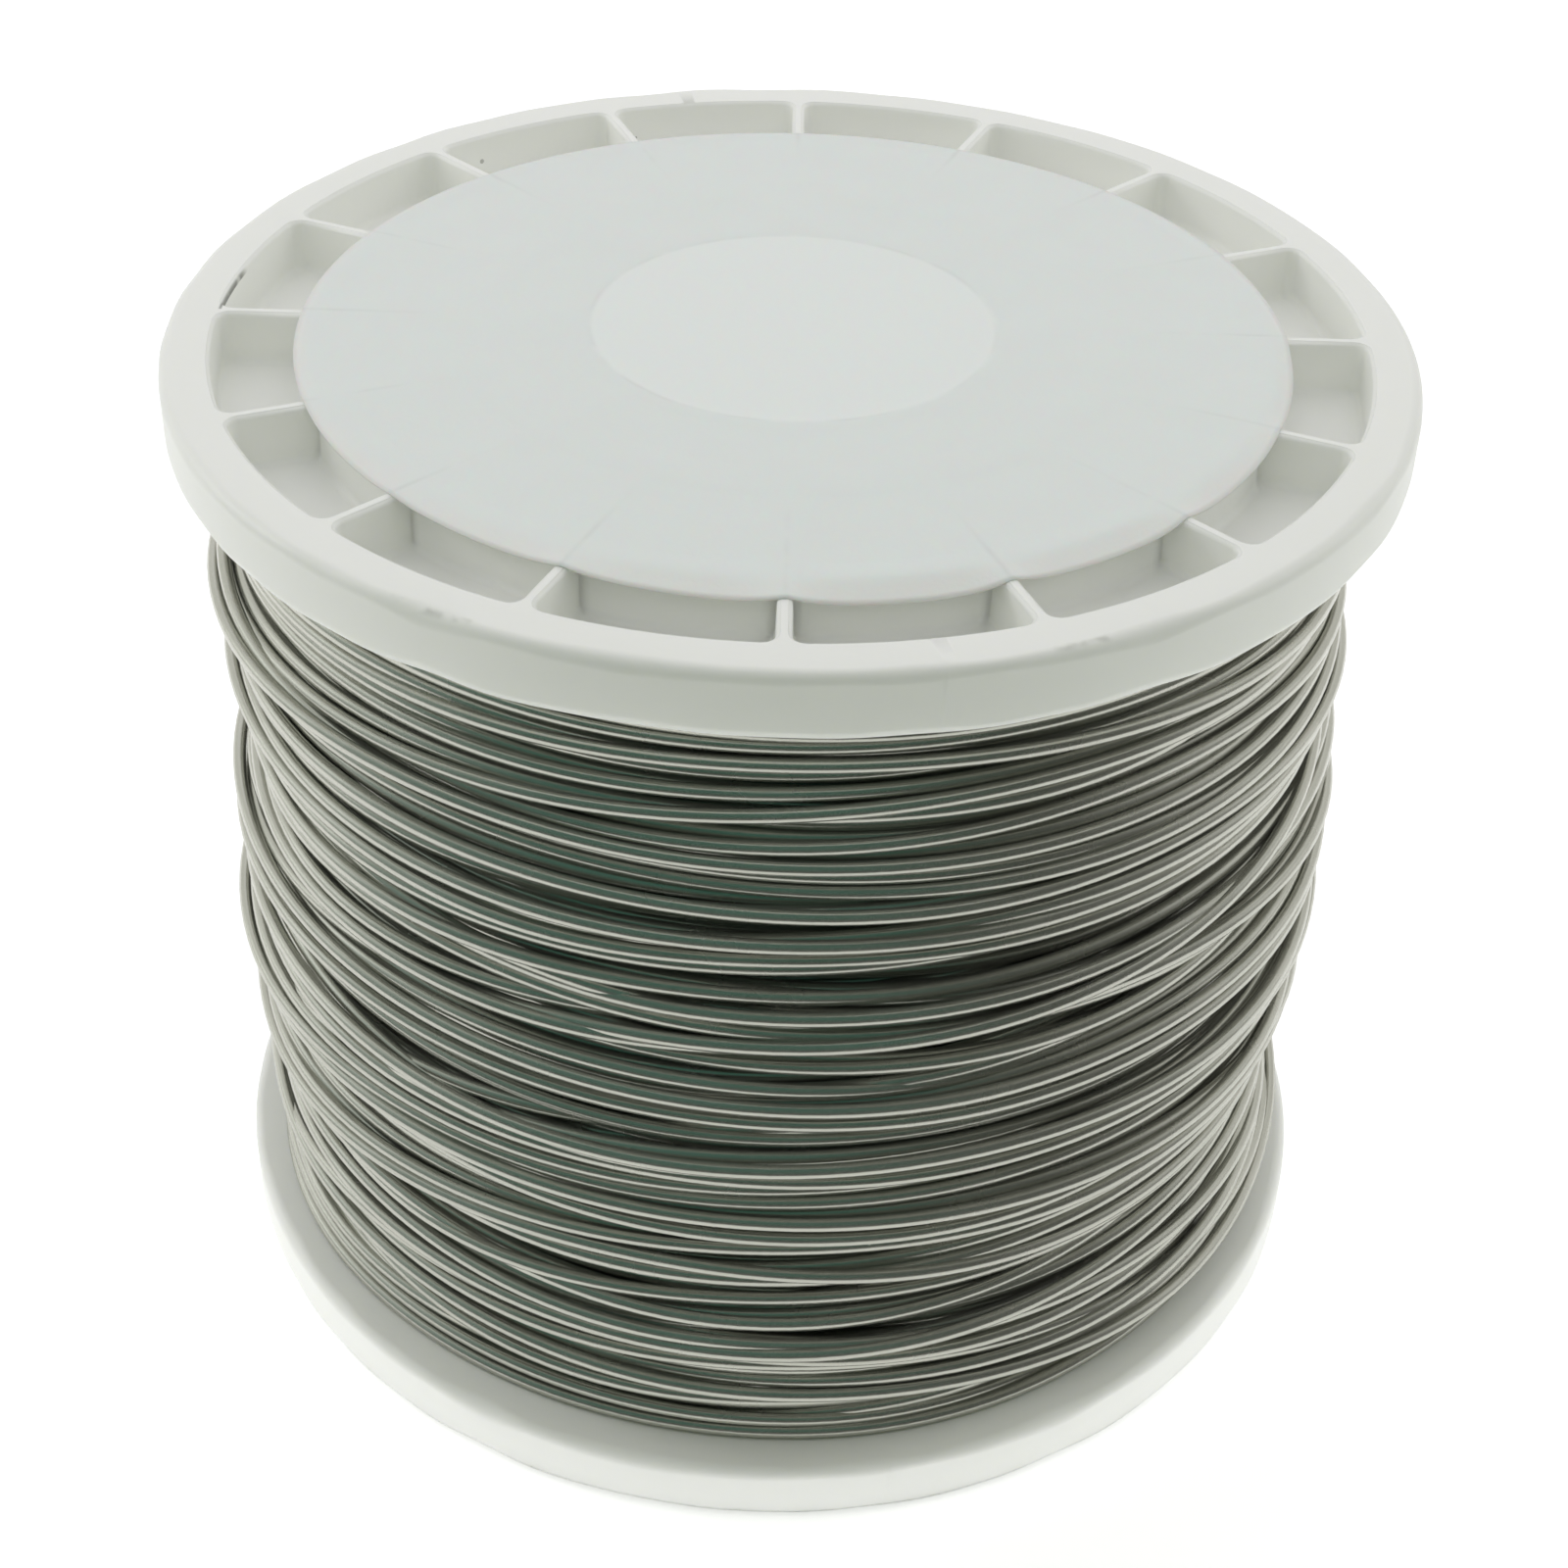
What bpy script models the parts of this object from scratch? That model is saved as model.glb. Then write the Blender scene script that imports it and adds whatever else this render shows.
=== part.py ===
"""Solder wire spool: a one-piece moulded reel, the wire wound on it and a round paper label.

Metres, +Z up along the reel's axis, origin at the middle of the lower flange's outer face.
"""
import math

import bmesh
import bpy

MM = 0.001

# Reel moulding
FLANGE_RADIUS = 30.0 * MM
REEL_HEIGHT = 51.4 * MM
FLANGE_THICKNESS = 3.3 * MM
RIM_WIDTH = 2.4 * MM
FLOOR_THICKNESS = 0.7 * MM
RIM_EDGE_RADIUS = 0.4 * MM
RIB_COUNT = 16
RIB_THICKNESS = 0.65 * MM
POCKET_LENGTH = 4.2 * MM
POCKET_CORNER_RADIUS = 0.6 * MM
LABEL_SEAT_WALL = 0.9 * MM
DRAFT_ANGLE = math.radians(1.7)
BARREL_RADIUS = 16.0 * MM
BARREL_WALL = 1.5 * MM
BARREL_ROOT_RADIUS = 0.8 * MM
BORE_RADIUS = 8.0 * MM
HUB_WALL = 2.1 * MM
WEB_COUNT = 8
WEB_THICKNESS = 1.2 * MM

# Solder wire
WIRE_DIAMETER = 0.7 * MM
WINDING_RADIUS = 28.1 * MM
BULGE = 0.7 * MM
BULGE_HEIGHT = 23.0 * MM
BULGE_SPREAD = 5.0 * MM
VALLEY = 0.6 * MM
VALLEY_HEIGHT = 32.2 * MM
VALLEY_SPREAD = 2.6 * MM
OUTER_LOOPS = 24
LAY_WANDER = 0.3 * MM
WANDER_CYCLES_PER_LOOP = 0.37

# Paper label, stuck on a little off centre
LABEL_RADIUS = 23.7 * MM
LABEL_THICKNESS = 0.12 * MM
LABEL_OFFSET_X = 0.1 * MM
LABEL_OFFSET_Y = -0.8 * MM

# Clearances between separate pieces
WIRE_GAP = 0.3 * MM
LABEL_GAP = 0.05 * MM

# Facets
REEL_SEGMENTS = 3 * RIB_COUNT
CORE_SEGMENTS = 48
CORE_STEPS = 16
LABEL_SEGMENTS = 64
POINTS_PER_LOOP = 24
RIM_ARC_STEPS = 2
ROOT_ARC_STEPS = 1
CORNER_STEPS = 1
HOLLOW_ARC_STEPS = 2
CUT_MARGIN = 1.0 * MM


def plastic_white():
    return principled("reel_plastic", (0.78, 0.79, 0.76), roughness=0.45, metallic=0.0)


def solder_grey():
    return principled("solder", (0.42, 0.42, 0.40), roughness=0.38, metallic=1.0)


def paper_white():
    return principled("label_paper", (0.72, 0.72, 0.70), roughness=0.85, metallic=0.0)


def principled(name, colour, roughness, metallic):
    material = bpy.data.materials.new(name)
    material.use_nodes = True
    shader = material.node_tree.nodes["Principled BSDF"]
    shader.inputs["Base Color"].default_value = (*colour, 1.0)
    shader.inputs["Roughness"].default_value = roughness
    shader.inputs["Metallic"].default_value = metallic
    return material


def polar(radius, angle, z):
    return (radius * math.cos(angle), radius * math.sin(angle), z)


def arc(centre_r, centre_z, radius, start_deg, end_deg, steps):
    """Points of an arc in the (radius, height) plane, both ends included."""
    points = []
    for step in range(steps + 1):
        angle = math.radians(start_deg + (end_deg - start_deg) * step / steps)
        points.append((centre_r + radius * math.cos(angle), centre_z + radius * math.sin(angle)))
    return points


def mesh_from(bm, name):
    bmesh.ops.recalc_face_normals(bm, faces=bm.faces)
    mesh = bpy.data.meshes.new(name)
    bm.to_mesh(mesh)
    bm.free()
    mesh.shade_smooth()
    mesh.set_sharp_from_angle(angle=math.radians(30))
    return mesh


def turned_mesh(name, outline, segments):
    """Solid made by turning a closed (radius, height) outline about the Z axis."""
    bm = bmesh.new()
    rings = []
    for step in range(segments):
        angle = 2 * math.pi * step / segments
        rings.append([bm.verts.new(polar(radius, angle, z)) for radius, z in outline])
    for ring, following in zip(rings, rings[1:] + rings[:1]):
        for index in range(len(outline)):
            corners = (ring[index - 1], ring[index], following[index], following[index - 1])
            bm.faces.new(corners)
    return mesh_from(bm, name)


def place(name, data, material, parent):
    piece = bpy.data.objects.new(name, data)
    data.materials.append(material)
    piece.parent = parent
    bpy.context.scene.collection.objects.link(piece)
    return piece


def reel_outline():
    """Section of the moulding before its pockets: bore, two flanges and the barrel between them."""
    edge = RIM_EDGE_RADIUS
    root = BARREL_ROOT_RADIUS
    edge_r = FLANGE_RADIUS - edge
    root_r = BARREL_RADIUS + root
    low_face = FLANGE_THICKNESS
    high_face = REEL_HEIGHT - FLANGE_THICKNESS
    outline = [(BORE_RADIUS, 0.0)]
    outline += arc(edge_r, edge, edge, -90, 0, RIM_ARC_STEPS)
    outline += arc(edge_r, low_face - edge, edge, 0, 90, RIM_ARC_STEPS)
    outline += arc(root_r, low_face + root, root, 270, 180, ROOT_ARC_STEPS)
    outline += arc(root_r, high_face - root, root, 180, 90, ROOT_ARC_STEPS)
    outline += arc(edge_r, high_face + edge, edge, -90, 0, RIM_ARC_STEPS)
    outline += arc(edge_r, REEL_HEIGHT - edge, edge, 0, 90, RIM_ARC_STEPS)
    outline.append((BORE_RADIUS, REEL_HEIGHT))
    return outline


def sector(inner_radius, outer_radius, wall, pitch):
    """Corners of the gap between two radial walls, with its middle on the +X axis."""
    corners = []
    for radius, direction in ((outer_radius, 1), (inner_radius, -1)):
        half = pitch / 2 - math.asin(wall / 2 / radius)
        for step in range(HOLLOW_ARC_STEPS + 1):
            angle = direction * half * (2 * step / HOLLOW_ARC_STEPS - 1)
            corners.append((radius, angle))
    return corners


def add_prism(bm, low, high, low_z, high_z, turn):
    """Closed prism between two outlines of (radius, angle) corners, turned about the reel's axis."""
    lower = [bm.verts.new(polar(radius, angle + turn, low_z)) for radius, angle in low]
    upper = [bm.verts.new(polar(radius, angle + turn, high_z)) for radius, angle in high]
    bm.faces.new(lower[::-1])
    bm.faces.new(upper)
    for index in range(len(lower)):
        bm.faces.new((lower[index - 1], lower[index], upper[index], upper[index - 1]))
    return lower, upper


def round_corners(bm, lower, upper, corner_indices, radius):
    uprights = []
    for index in corner_indices:
        edge = bm.edges.get((lower[index], upper[index]))
        uprights.append(edge)
    bmesh.ops.bevel(bm, geom=uprights, offset=radius, segments=CORNER_STEPS, profile=0.5, affect="EDGES")


def add_pockets(bm, inner_radius, outer_radius, corner_radius, upper_flange):
    """A ring of drafted pockets with radial ribs between them and a thin floor, in one flange."""
    pitch = 2 * math.pi / RIB_COUNT
    depth = FLANGE_THICKNESS - FLOOR_THICKNESS
    outlines = []
    for height in (0.0, depth + CUT_MARGIN):
        open_by = (height - depth) * math.tan(DRAFT_ANGLE)
        rib = RIB_THICKNESS - 2 * open_by
        outlines.append(sector(inner_radius - open_by, outer_radius + open_by, rib, pitch))
    floor_outline, mouth_outline = outlines
    outer_corners = (0, HOLLOW_ARC_STEPS)
    for index in range(RIB_COUNT):
        turn = math.pi / 2 + (index + 0.5) * pitch
        if upper_flange:
            floor_z = REEL_HEIGHT - depth
            levels = (floor_outline, mouth_outline, floor_z, floor_z + depth + CUT_MARGIN)
        else:
            levels = (mouth_outline, floor_outline, -CUT_MARGIN, depth)
        lower, upper = add_prism(bm, *levels, turn)
        if corner_radius:
            round_corners(bm, lower, upper, outer_corners, corner_radius)


def add_cells(bm):
    """The open cells between the hub tube and the barrel wall, parted by radial webs."""
    pitch = 2 * math.pi / WEB_COUNT
    hub_radius = BORE_RADIUS + HUB_WALL
    outline = sector(hub_radius, BARREL_RADIUS - BARREL_WALL, WEB_THICKNESS, pitch)
    for index in range(WEB_COUNT):
        turn = math.pi / 2 + (index + 0.5) * pitch
        add_prism(bm, outline, outline, -CUT_MARGIN, REEL_HEIGHT + CUT_MARGIN, turn)


def make_reel(parent):
    reel = place("reel", turned_mesh("reel", reel_outline(), REEL_SEGMENTS), plastic_white(), parent)
    bm = bmesh.new()
    rim_inside = FLANGE_RADIUS - RIM_WIDTH
    seat_outside = rim_inside - POCKET_LENGTH
    seat_inside = seat_outside - LABEL_SEAT_WALL
    for upper_flange in (True, False):
        add_pockets(bm, seat_outside, rim_inside, POCKET_CORNER_RADIUS, upper_flange)
        add_pockets(bm, BARREL_RADIUS, seat_inside, 0.0, upper_flange)
    add_cells(bm)
    hollows = bpy.data.objects.new("reel_hollows", mesh_from(bm, "reel_hollows"))
    hollows.hide_render = True
    hollows.display_type = "WIRE"
    hollows.parent = parent
    bpy.context.scene.collection.objects.link(hollows)
    cut = reel.modifiers.new("pockets and cells", "BOOLEAN")
    cut.operation = "DIFFERENCE"
    cut.solver = "EXACT"
    cut.object = hollows
    return reel


def winding_surface(z):
    """Outside radius of the finished winding: a swelling below the middle and a dip above it."""
    swell = BULGE * math.exp(-((z - BULGE_HEIGHT) / BULGE_SPREAD) ** 2)
    dip = VALLEY * math.exp(-((z - VALLEY_HEIGHT) / VALLEY_SPREAD) ** 2)
    return WINDING_RADIUS + swell - dip


def core_surface(z):
    """Radius of the inner layers, clear of the flat stretches between the outer layer's points."""
    flat_inset = math.cos(math.pi / POINTS_PER_LOOP)
    wire_radius = WIRE_DIAMETER / 2
    return (winding_surface(z) - wire_radius) * flat_inset - wire_radius - WIRE_GAP


def make_inner_layers(parent):
    low = FLANGE_THICKNESS + WIRE_GAP
    high = REEL_HEIGHT - FLANGE_THICKNESS - WIRE_GAP
    inside = BARREL_RADIUS + WIRE_GAP
    clear_root = BARREL_RADIUS + BARREL_ROOT_RADIUS + WIRE_GAP
    outline = [(inside, low + BARREL_ROOT_RADIUS), (clear_root, low)]
    for step in range(CORE_STEPS + 1):
        z = low + (high - low) * step / CORE_STEPS
        outline.append((core_surface(z), z))
    outline += [(clear_root, high), (inside, high - BARREL_ROOT_RADIUS)]
    mesh = turned_mesh("wire_inner_layers", outline, CORE_SEGMENTS)
    return place("wire_inner_layers", mesh, solder_grey(), parent)


def outer_layer_route():
    """Points along the middle of the wire in the outermost layer, from the lower flange to the upper."""
    wire_radius = WIRE_DIAMETER / 2
    low = FLANGE_THICKNESS + WIRE_GAP + wire_radius
    high = REEL_HEIGHT - FLANGE_THICKNESS - WIRE_GAP - wire_radius
    count = OUTER_LOOPS * POINTS_PER_LOOP
    points = []
    for step in range(count + 1):
        loop = step / POINTS_PER_LOOP
        along = step / count
        sway = math.sin(2 * math.pi * WANDER_CYCLES_PER_LOOP * loop)
        z = low + (high - low) * along + LAY_WANDER * sway * math.sin(math.pi * along)
        angle = math.pi / 2 + 2 * math.pi * loop
        points.append(polar(winding_surface(z) - wire_radius, angle, z))
    return [straight_end(points[1], points[0])] + points + [straight_end(points[-2], points[-1])]


def straight_end(before, end):
    """A point one wire diameter past the end of the route, straight on."""
    length = math.dist(before, end)
    return tuple(e + (e - b) / length * WIRE_DIAMETER for b, e in zip(before, end))


def least_gap(points):
    """Least clear distance between neighbouring loops, measured from point to point."""
    reach = POINTS_PER_LOOP // 2
    least = math.inf
    for index, point in enumerate(points):
        for other in points[index + reach:index + 3 * reach + 2]:
            least = min(least, math.dist(point, other))
    return least - WIRE_DIAMETER


def make_outer_layer(parent):
    points = outer_layer_route()
    print(f"least gap between loops of the outer layer: {least_gap(points) / MM:.2f} mm")
    curve = bpy.data.curves.new("wire_outer_layer", "CURVE")
    curve.dimensions = "3D"
    curve.bevel_depth = WIRE_DIAMETER / 2
    curve.bevel_resolution = 1
    curve.use_fill_caps = True
    spline = curve.splines.new("POLY")
    spline.points.add(len(points) - 1)
    for spline_point, point in zip(spline.points, points):
        spline_point.co = (*point, 1.0)
    return place("wire_outer_layer", curve, solder_grey(), parent)


def make_label(parent):
    bm = bmesh.new()
    bmesh.ops.create_cone(bm, cap_ends=True, segments=LABEL_SEGMENTS, radius1=LABEL_RADIUS,
                          radius2=LABEL_RADIUS, depth=LABEL_THICKNESS)
    label = place("label", mesh_from(bm, "label"), paper_white(), parent)
    rest_z = REEL_HEIGHT + LABEL_GAP
    label.location = (LABEL_OFFSET_X, LABEL_OFFSET_Y, rest_z + LABEL_THICKNESS / 2)
    return label


def main():
    for leftover in list(bpy.data.objects):
        bpy.data.objects.remove(leftover)
    spool = bpy.data.objects.new("spool", None)
    bpy.context.scene.collection.objects.link(spool)
    make_reel(spool)
    make_inner_layers(spool)
    make_outer_layer(spool)
    make_label(spool)


main()
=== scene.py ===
"""Looks of a solder wire spool: the moulded reel, the wire wound on it and a round paper label."""
import math

import bmesh
import bpy
import numpy as np
from mathutils import Matrix, Vector


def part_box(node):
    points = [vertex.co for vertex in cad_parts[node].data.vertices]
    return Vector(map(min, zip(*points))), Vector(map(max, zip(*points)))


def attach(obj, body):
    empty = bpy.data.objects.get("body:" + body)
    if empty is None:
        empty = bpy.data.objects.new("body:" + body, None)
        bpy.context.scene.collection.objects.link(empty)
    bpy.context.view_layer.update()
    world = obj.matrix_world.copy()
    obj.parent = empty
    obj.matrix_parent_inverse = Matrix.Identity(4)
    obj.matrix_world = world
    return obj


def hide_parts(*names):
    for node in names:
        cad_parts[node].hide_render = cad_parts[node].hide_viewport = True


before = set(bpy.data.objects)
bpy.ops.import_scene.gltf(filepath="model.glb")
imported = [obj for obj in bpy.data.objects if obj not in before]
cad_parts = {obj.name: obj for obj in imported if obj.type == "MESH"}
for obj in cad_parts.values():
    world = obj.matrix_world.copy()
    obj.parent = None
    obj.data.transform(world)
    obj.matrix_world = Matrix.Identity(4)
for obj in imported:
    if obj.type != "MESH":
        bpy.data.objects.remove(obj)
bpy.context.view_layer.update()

scene = bpy.context.scene
scene.view_settings.view_transform = "Standard"

# Reel
# One injection moulding in white polystyrene: two flanges joined by a barrel, with a hub tube for the
# spindle. Cores at both ends leave a rim, a ring for the label, thin ribs and a thin floor in each flange.
reel_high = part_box("reel")[1]
flange_radius = reel_high.x
reel_height = reel_high.z
flange_thickness = 0.0033
rim_width = 0.0024
rim_edge = 0.0006
rim_wear = 0.1
wear_waves = range(3, 40)
floor_thickness = 0.0007
rib_count = 16
rib_thickness = 0.00065
pocket_length = 0.0042
pocket_corner = 0.0006
pocket_root = 0.0004
seat_wall = 0.0009
draft = math.tan(math.radians(1.7))
barrel_radius = 0.016
barrel_wall = 0.0015
barrel_root = 0.0008
bore_radius = 0.008
hub_wall = 0.0021
web_count = 8
web_thickness = 0.0012
edge_softness = 0.00022
parting_angle = math.radians(-77.5)
parting_ridge = 0.000015
parting_width = 0.00012
cut_margin = 0.001
reel_segments = 240
arc_steps = 5
pocket_steps = 14
wear_seed = 3
chance = np.random.default_rng(wear_seed)


def linear(hex_colour):
    """Linear RGBA of an sRGB colour written as six hex digits."""
    channels = [int(hex_colour[at:at + 2], 16) / 255 for at in (0, 2, 4)]
    return [c / 12.92 if c <= 0.04045 else ((c + 0.055) / 1.055) ** 2.4 for c in channels] + [1.0]


def add_node(tree, kind, inputs=None, **settings):
    """Adds a node. An input, by name or place, takes a plain value or the output that feeds it."""
    node = tree.nodes.new(kind)
    for name, value in settings.items():
        setattr(node, name, value)
    for name, value in (inputs or {}).items():
        if isinstance(value, bpy.types.NodeSocket):
            tree.links.new(value, node.inputs[name])
        else:
            node.inputs[name].default_value = value
    return node


def add_object(name, shape):
    """Object for a finished bmesh, with its faces pointing outwards."""
    bmesh.ops.recalc_face_normals(shape, faces=shape.faces)
    mesh = bpy.data.meshes.new(name)
    shape.to_mesh(mesh)
    shape.free()
    mesh.shade_smooth()
    piece = bpy.data.objects.new(name, mesh)
    scene.collection.objects.link(piece)
    return piece


def arc(centre, radius, start_deg, end_deg):
    """Points of an arc in the (radius, height) plane, both ends included."""
    angles = np.radians(np.linspace(start_deg, end_deg, arc_steps + 1))
    return [(centre[0] + radius * math.cos(a), centre[1] + radius * math.sin(a)) for a in angles]


def turned(outlines, angles):
    """Closed shape through closed (radius, height) outlines set round the reel's axis, one at each angle."""
    shape = bmesh.new()
    rings = []
    for outline, a in zip(outlines, angles):
        rings.append([shape.verts.new((r * math.cos(a), r * math.sin(a), z)) for r, z in outline])
    for ring, following in zip(rings, rings[1:] + rings[:1]):
        for i in range(len(ring)):
            shape.faces.new((ring[i - 1], ring[i], following[i], following[i - 1]))
    return shape


def blank_outline(edge, ridge):
    """Section of the moulding before it is cored, for a rounding of the rims and a parting line's height."""
    edge_r = flange_radius + ridge - edge
    root_r = barrel_radius + barrel_root
    bore_r = bore_radius + edge_softness
    top_face = reel_height - flange_thickness
    outline = arc((bore_r, edge_softness), edge_softness, 180, 270)
    outline += arc((edge_r, edge), edge, -90, 0)
    outline += arc((edge_r, flange_thickness - edge), edge, 0, 90)
    outline += arc((root_r, flange_thickness + barrel_root), barrel_root, 270, 180)
    outline += arc((root_r, top_face - barrel_root), barrel_root, 180, 90)
    outline += arc((edge_r, top_face + edge), edge, -90, 0)
    outline += arc((edge_r, reel_height - edge), edge, 0, 90)
    outline += arc((bore_r, reel_height - edge_softness), edge_softness, 90, 180)
    return outline


def ripple(angles, waves):
    """Random ripple round the axis with the given numbers of waves and a spread of one."""
    waved = [np.cos(count * angles + chance.uniform(0, 2 * math.pi)) for count in waves]
    return sum(waved) / math.sqrt(len(waved) / 2)


ridge_half = parting_width / 2 / flange_radius
blank_turns = [(a, 0.0) for a in np.linspace(-math.pi, math.pi, reel_segments, endpoint=False)]
for seam in (parting_angle, parting_angle + math.pi):
    blank_turns += [(seam - ridge_half, 0.0), (seam, parting_ridge), (seam + ridge_half, 0.0)]
blank_turns.sort()
blank_angles = np.array([a for a, _ in blank_turns])
edges = rim_edge * np.exp(rim_wear * ripple(blank_angles, wear_waves))
blank_outlines = [blank_outline(edge, ridge) for edge, (_, ridge) in zip(edges, blank_turns)]
reel = add_object("moulded_reel", turned(blank_outlines, blank_angles))


def sector_outline(inner, outer, wall, pitch, corner):
    """Corners of the gap between two radial walls, centred on +X, with its outer corners rounded."""
    corner_radius = outer - corner
    corner_angle = pitch / 2 - math.asin((wall / 2 + corner) / corner_radius)
    inner_angle = pitch / 2 - math.asin(wall / 2 / inner)
    points = []
    for spin in pitch / 2 + np.linspace(math.pi / 2, 0, arc_steps):
        points.append((corner_radius * math.cos(corner_angle) + corner * math.cos(spin),
                       corner_radius * math.sin(corner_angle) + corner * math.sin(spin)))
    for a in np.linspace(corner_angle, -corner_angle, pocket_steps)[1:-1]:
        points.append((outer * math.cos(a), outer * math.sin(a)))
    points += [(x, -y) for x, y in reversed(points[:arc_steps])]
    for a in np.linspace(-inner_angle, inner_angle, pocket_steps):
        points.append((inner * math.cos(a), inner * math.sin(a)))
    return points


def add_core(shape, inner, outer, wall, pitch, profile):
    """Core of a mould whose walls stand back by the profile's (inset, height) steps, low to high."""
    rings = []
    for inset, z in profile:
        outline = sector_outline(inner + inset, outer - inset, wall + 2 * inset, pitch,
                                 max(pocket_corner - inset, edge_softness))
        rings.append([shape.verts.new((x, y, z)) for x, y in outline])
    shape.faces.new(rings[0])
    shape.faces.new(rings[-1])
    for ring, following in zip(rings, rings[1:]):
        for i in range(len(ring)):
            shape.faces.new((ring[i - 1], ring[i], following[i], following[i - 1]))


pocket_depth = flange_thickness - floor_thickness
floor_z = reel_height - pocket_depth
mouth_turns = np.radians((0, 27, 54, 80))
mouth = [(edge_softness * (math.cos(t) - 1), reel_height + edge_softness * (math.sin(t) - 1))
         for t in mouth_turns]
mouth.append((mouth[-1][0], reel_height + cut_margin))
root_turns = np.radians((0, 30, 60, 90))
root = [(pocket_root * (1 - math.sin(t)), floor_z + pocket_root * (1 - math.cos(t))) for t in root_turns]
pocket_profile = [(inset + draft * (reel_height - z), z) for inset, z in root + mouth]
rib_pitch = 2 * math.pi / rib_count
rim_inside = flange_radius - rim_width
seat_outside = rim_inside - pocket_length
shape = bmesh.new()
add_core(shape, seat_outside, rim_inside, rib_thickness, rib_pitch, pocket_profile)
add_core(shape, barrel_radius, seat_outside - seat_wall, rib_thickness, rib_pitch, pocket_profile)
pocket = add_object("pocket_core", shape)
hub_radius = bore_radius + hub_wall
cell_outside = barrel_radius - barrel_wall
cell_profile = [(inset, reel_height - z) for inset, z in reversed(mouth)] + mouth
shape = bmesh.new()
add_core(shape, hub_radius, cell_outside, web_thickness, 2 * math.pi / web_count, cell_profile)
cell = add_object("cell_core", shape)

# White polystyrene from a polished mould: milky, so a little light comes through its thin walls and warms
# the corners, with a satin surface, a faint grain, and the specks and scuffs of a reel that has been used.
cloud_size = 0.011
grain_size = 0.0004
speck_spacing = 0.0043
speck_size = 0.035
speck_rarity = 0.72
speck_darkness = 0.55
scuff_depth = 0.00035
scuff_core = 0.6
satin_least, satin_most = 0.38, 0.52
grain_strength, grain_depth = 0.08, 0.0001
milkiness, light_reach = 0.3, 0.0008
plastic = bpy.data.materials.new("moulded_white_polystyrene")
plastic.use_nodes = True
tree = plastic.node_tree
shader = tree.nodes["Principled BSDF"]
place = add_node(tree, "ShaderNodeTexCoord").outputs["Object"]
axes = add_node(tree, "ShaderNodeSeparateXYZ", {"Vector": place}).outputs
flat = add_node(tree, "ShaderNodeCombineXYZ", {"X": axes["X"], "Y": axes["Y"]}).outputs[0]
from_axis = add_node(tree, "ShaderNodeVectorMath", {0: flat}, operation="LENGTH").outputs["Value"]
round_axis = add_node(tree, "ShaderNodeMath", {0: axes["Y"], 1: axes["X"]}, operation="ARCTAN2").outputs[0]
cloud = add_node(tree, "ShaderNodeTexNoise",
                 {"Vector": place, "Scale": 1 / cloud_size, "Detail": 3.0}).outputs[0]
grain = add_node(tree, "ShaderNodeTexNoise",
                 {"Vector": place, "Scale": 1 / grain_size, "Detail": 2.0}).outputs[0]
colour = add_node(tree, "ShaderNodeMix", {0: cloud, 6: linear("F7F8F3"), 7: linear("F4F5F0")},
                  data_type="RGBA").outputs[2]


def scuff_mask(tree, radius, angle_deg, half_deg, half_width, break_size, bare, solid):
    """Mask of a scuff that runs round the upper face of the rim, broken up by noise between two levels."""
    half = math.radians(half_deg)
    off_radius = add_node(tree, "ShaderNodeMath", {0: from_axis, 1: radius}, operation="SUBTRACT").outputs[0]
    off_angle = add_node(tree, "ShaderNodeMath", {0: round_axis, 1: math.radians(angle_deg)},
                         operation="SUBTRACT").outputs[0]
    broken = add_node(tree, "ShaderNodeTexNoise", {"Vector": place, "Scale": 1 / break_size,
                                                   "Detail": 2.0}).outputs[0]
    mask = add_node(tree, "ShaderNodeMath", {0: axes["Z"], 1: reel_height - scuff_depth},
                    operation="GREATER_THAN").outputs[0]
    for value, start, full in ((off_radius, half_width, 0.0), (off_angle, half, scuff_core * half),
                               (broken, bare, solid)):
        size = add_node(tree, "ShaderNodeMath", {0: value}, operation="ABSOLUTE").outputs[0]
        part = add_node(tree, "ShaderNodeMapRange", {"Value": size, "From Min": start, "From Max": full},
                        interpolation_type="SMOOTHSTEP").outputs[0]
        mask = add_node(tree, "ShaderNodeMath", {0: mask, 1: part}, operation="MULTIPLY").outputs[0]
    return mask


# Each scuff's radius, angle and half length in degrees, half width, grit size, noise levels and darkness
for *where, darkness in ((0.02758, 175.5, 6.0, 0.00013, 0.0012, 0.2, 0.45, 0.85),
                         (0.0296, -118.5, 4.5, 0.00025, 0.0011, 0.38, 0.62, 0.3),
                         (0.0296, -65.5, 3.5, 0.00025, 0.0011, 0.38, 0.62, 0.3)):
    mask = scuff_mask(tree, *where)
    amount = add_node(tree, "ShaderNodeMath", {0: mask, 1: darkness}, operation="MULTIPLY").outputs[0]
    colour = add_node(tree, "ShaderNodeMix", {0: amount, 6: colour, 7: linear("6A6A64")},
                      data_type="RGBA").outputs[2]
specks = add_node(tree, "ShaderNodeTexVoronoi", {"Vector": place, "Scale": 1 / speck_spacing}).outputs
draw = add_node(tree, "ShaderNodeSeparateColor", {0: specks["Color"]}).outputs[0]
reach = add_node(tree, "ShaderNodeMapRange",
                 {"Value": draw, "From Min": speck_rarity, "To Max": speck_size}).outputs[0]
speck = add_node(tree, "ShaderNodeMath", {0: specks["Distance"], 1: reach}, operation="LESS_THAN").outputs[0]
speck = add_node(tree, "ShaderNodeMath", {0: speck, 1: speck_darkness}, operation="MULTIPLY").outputs[0]
colour = add_node(tree, "ShaderNodeMix", {0: speck, 6: colour, 7: linear("77736A")},
                  data_type="RGBA").outputs[2]
tree.links.new(colour, shader.inputs["Base Color"])
polish = add_node(tree, "ShaderNodeMapRange",
                  {"Value": grain, "To Min": satin_least, "To Max": satin_most}).outputs[0]
tree.links.new(polish, shader.inputs["Roughness"])
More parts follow.
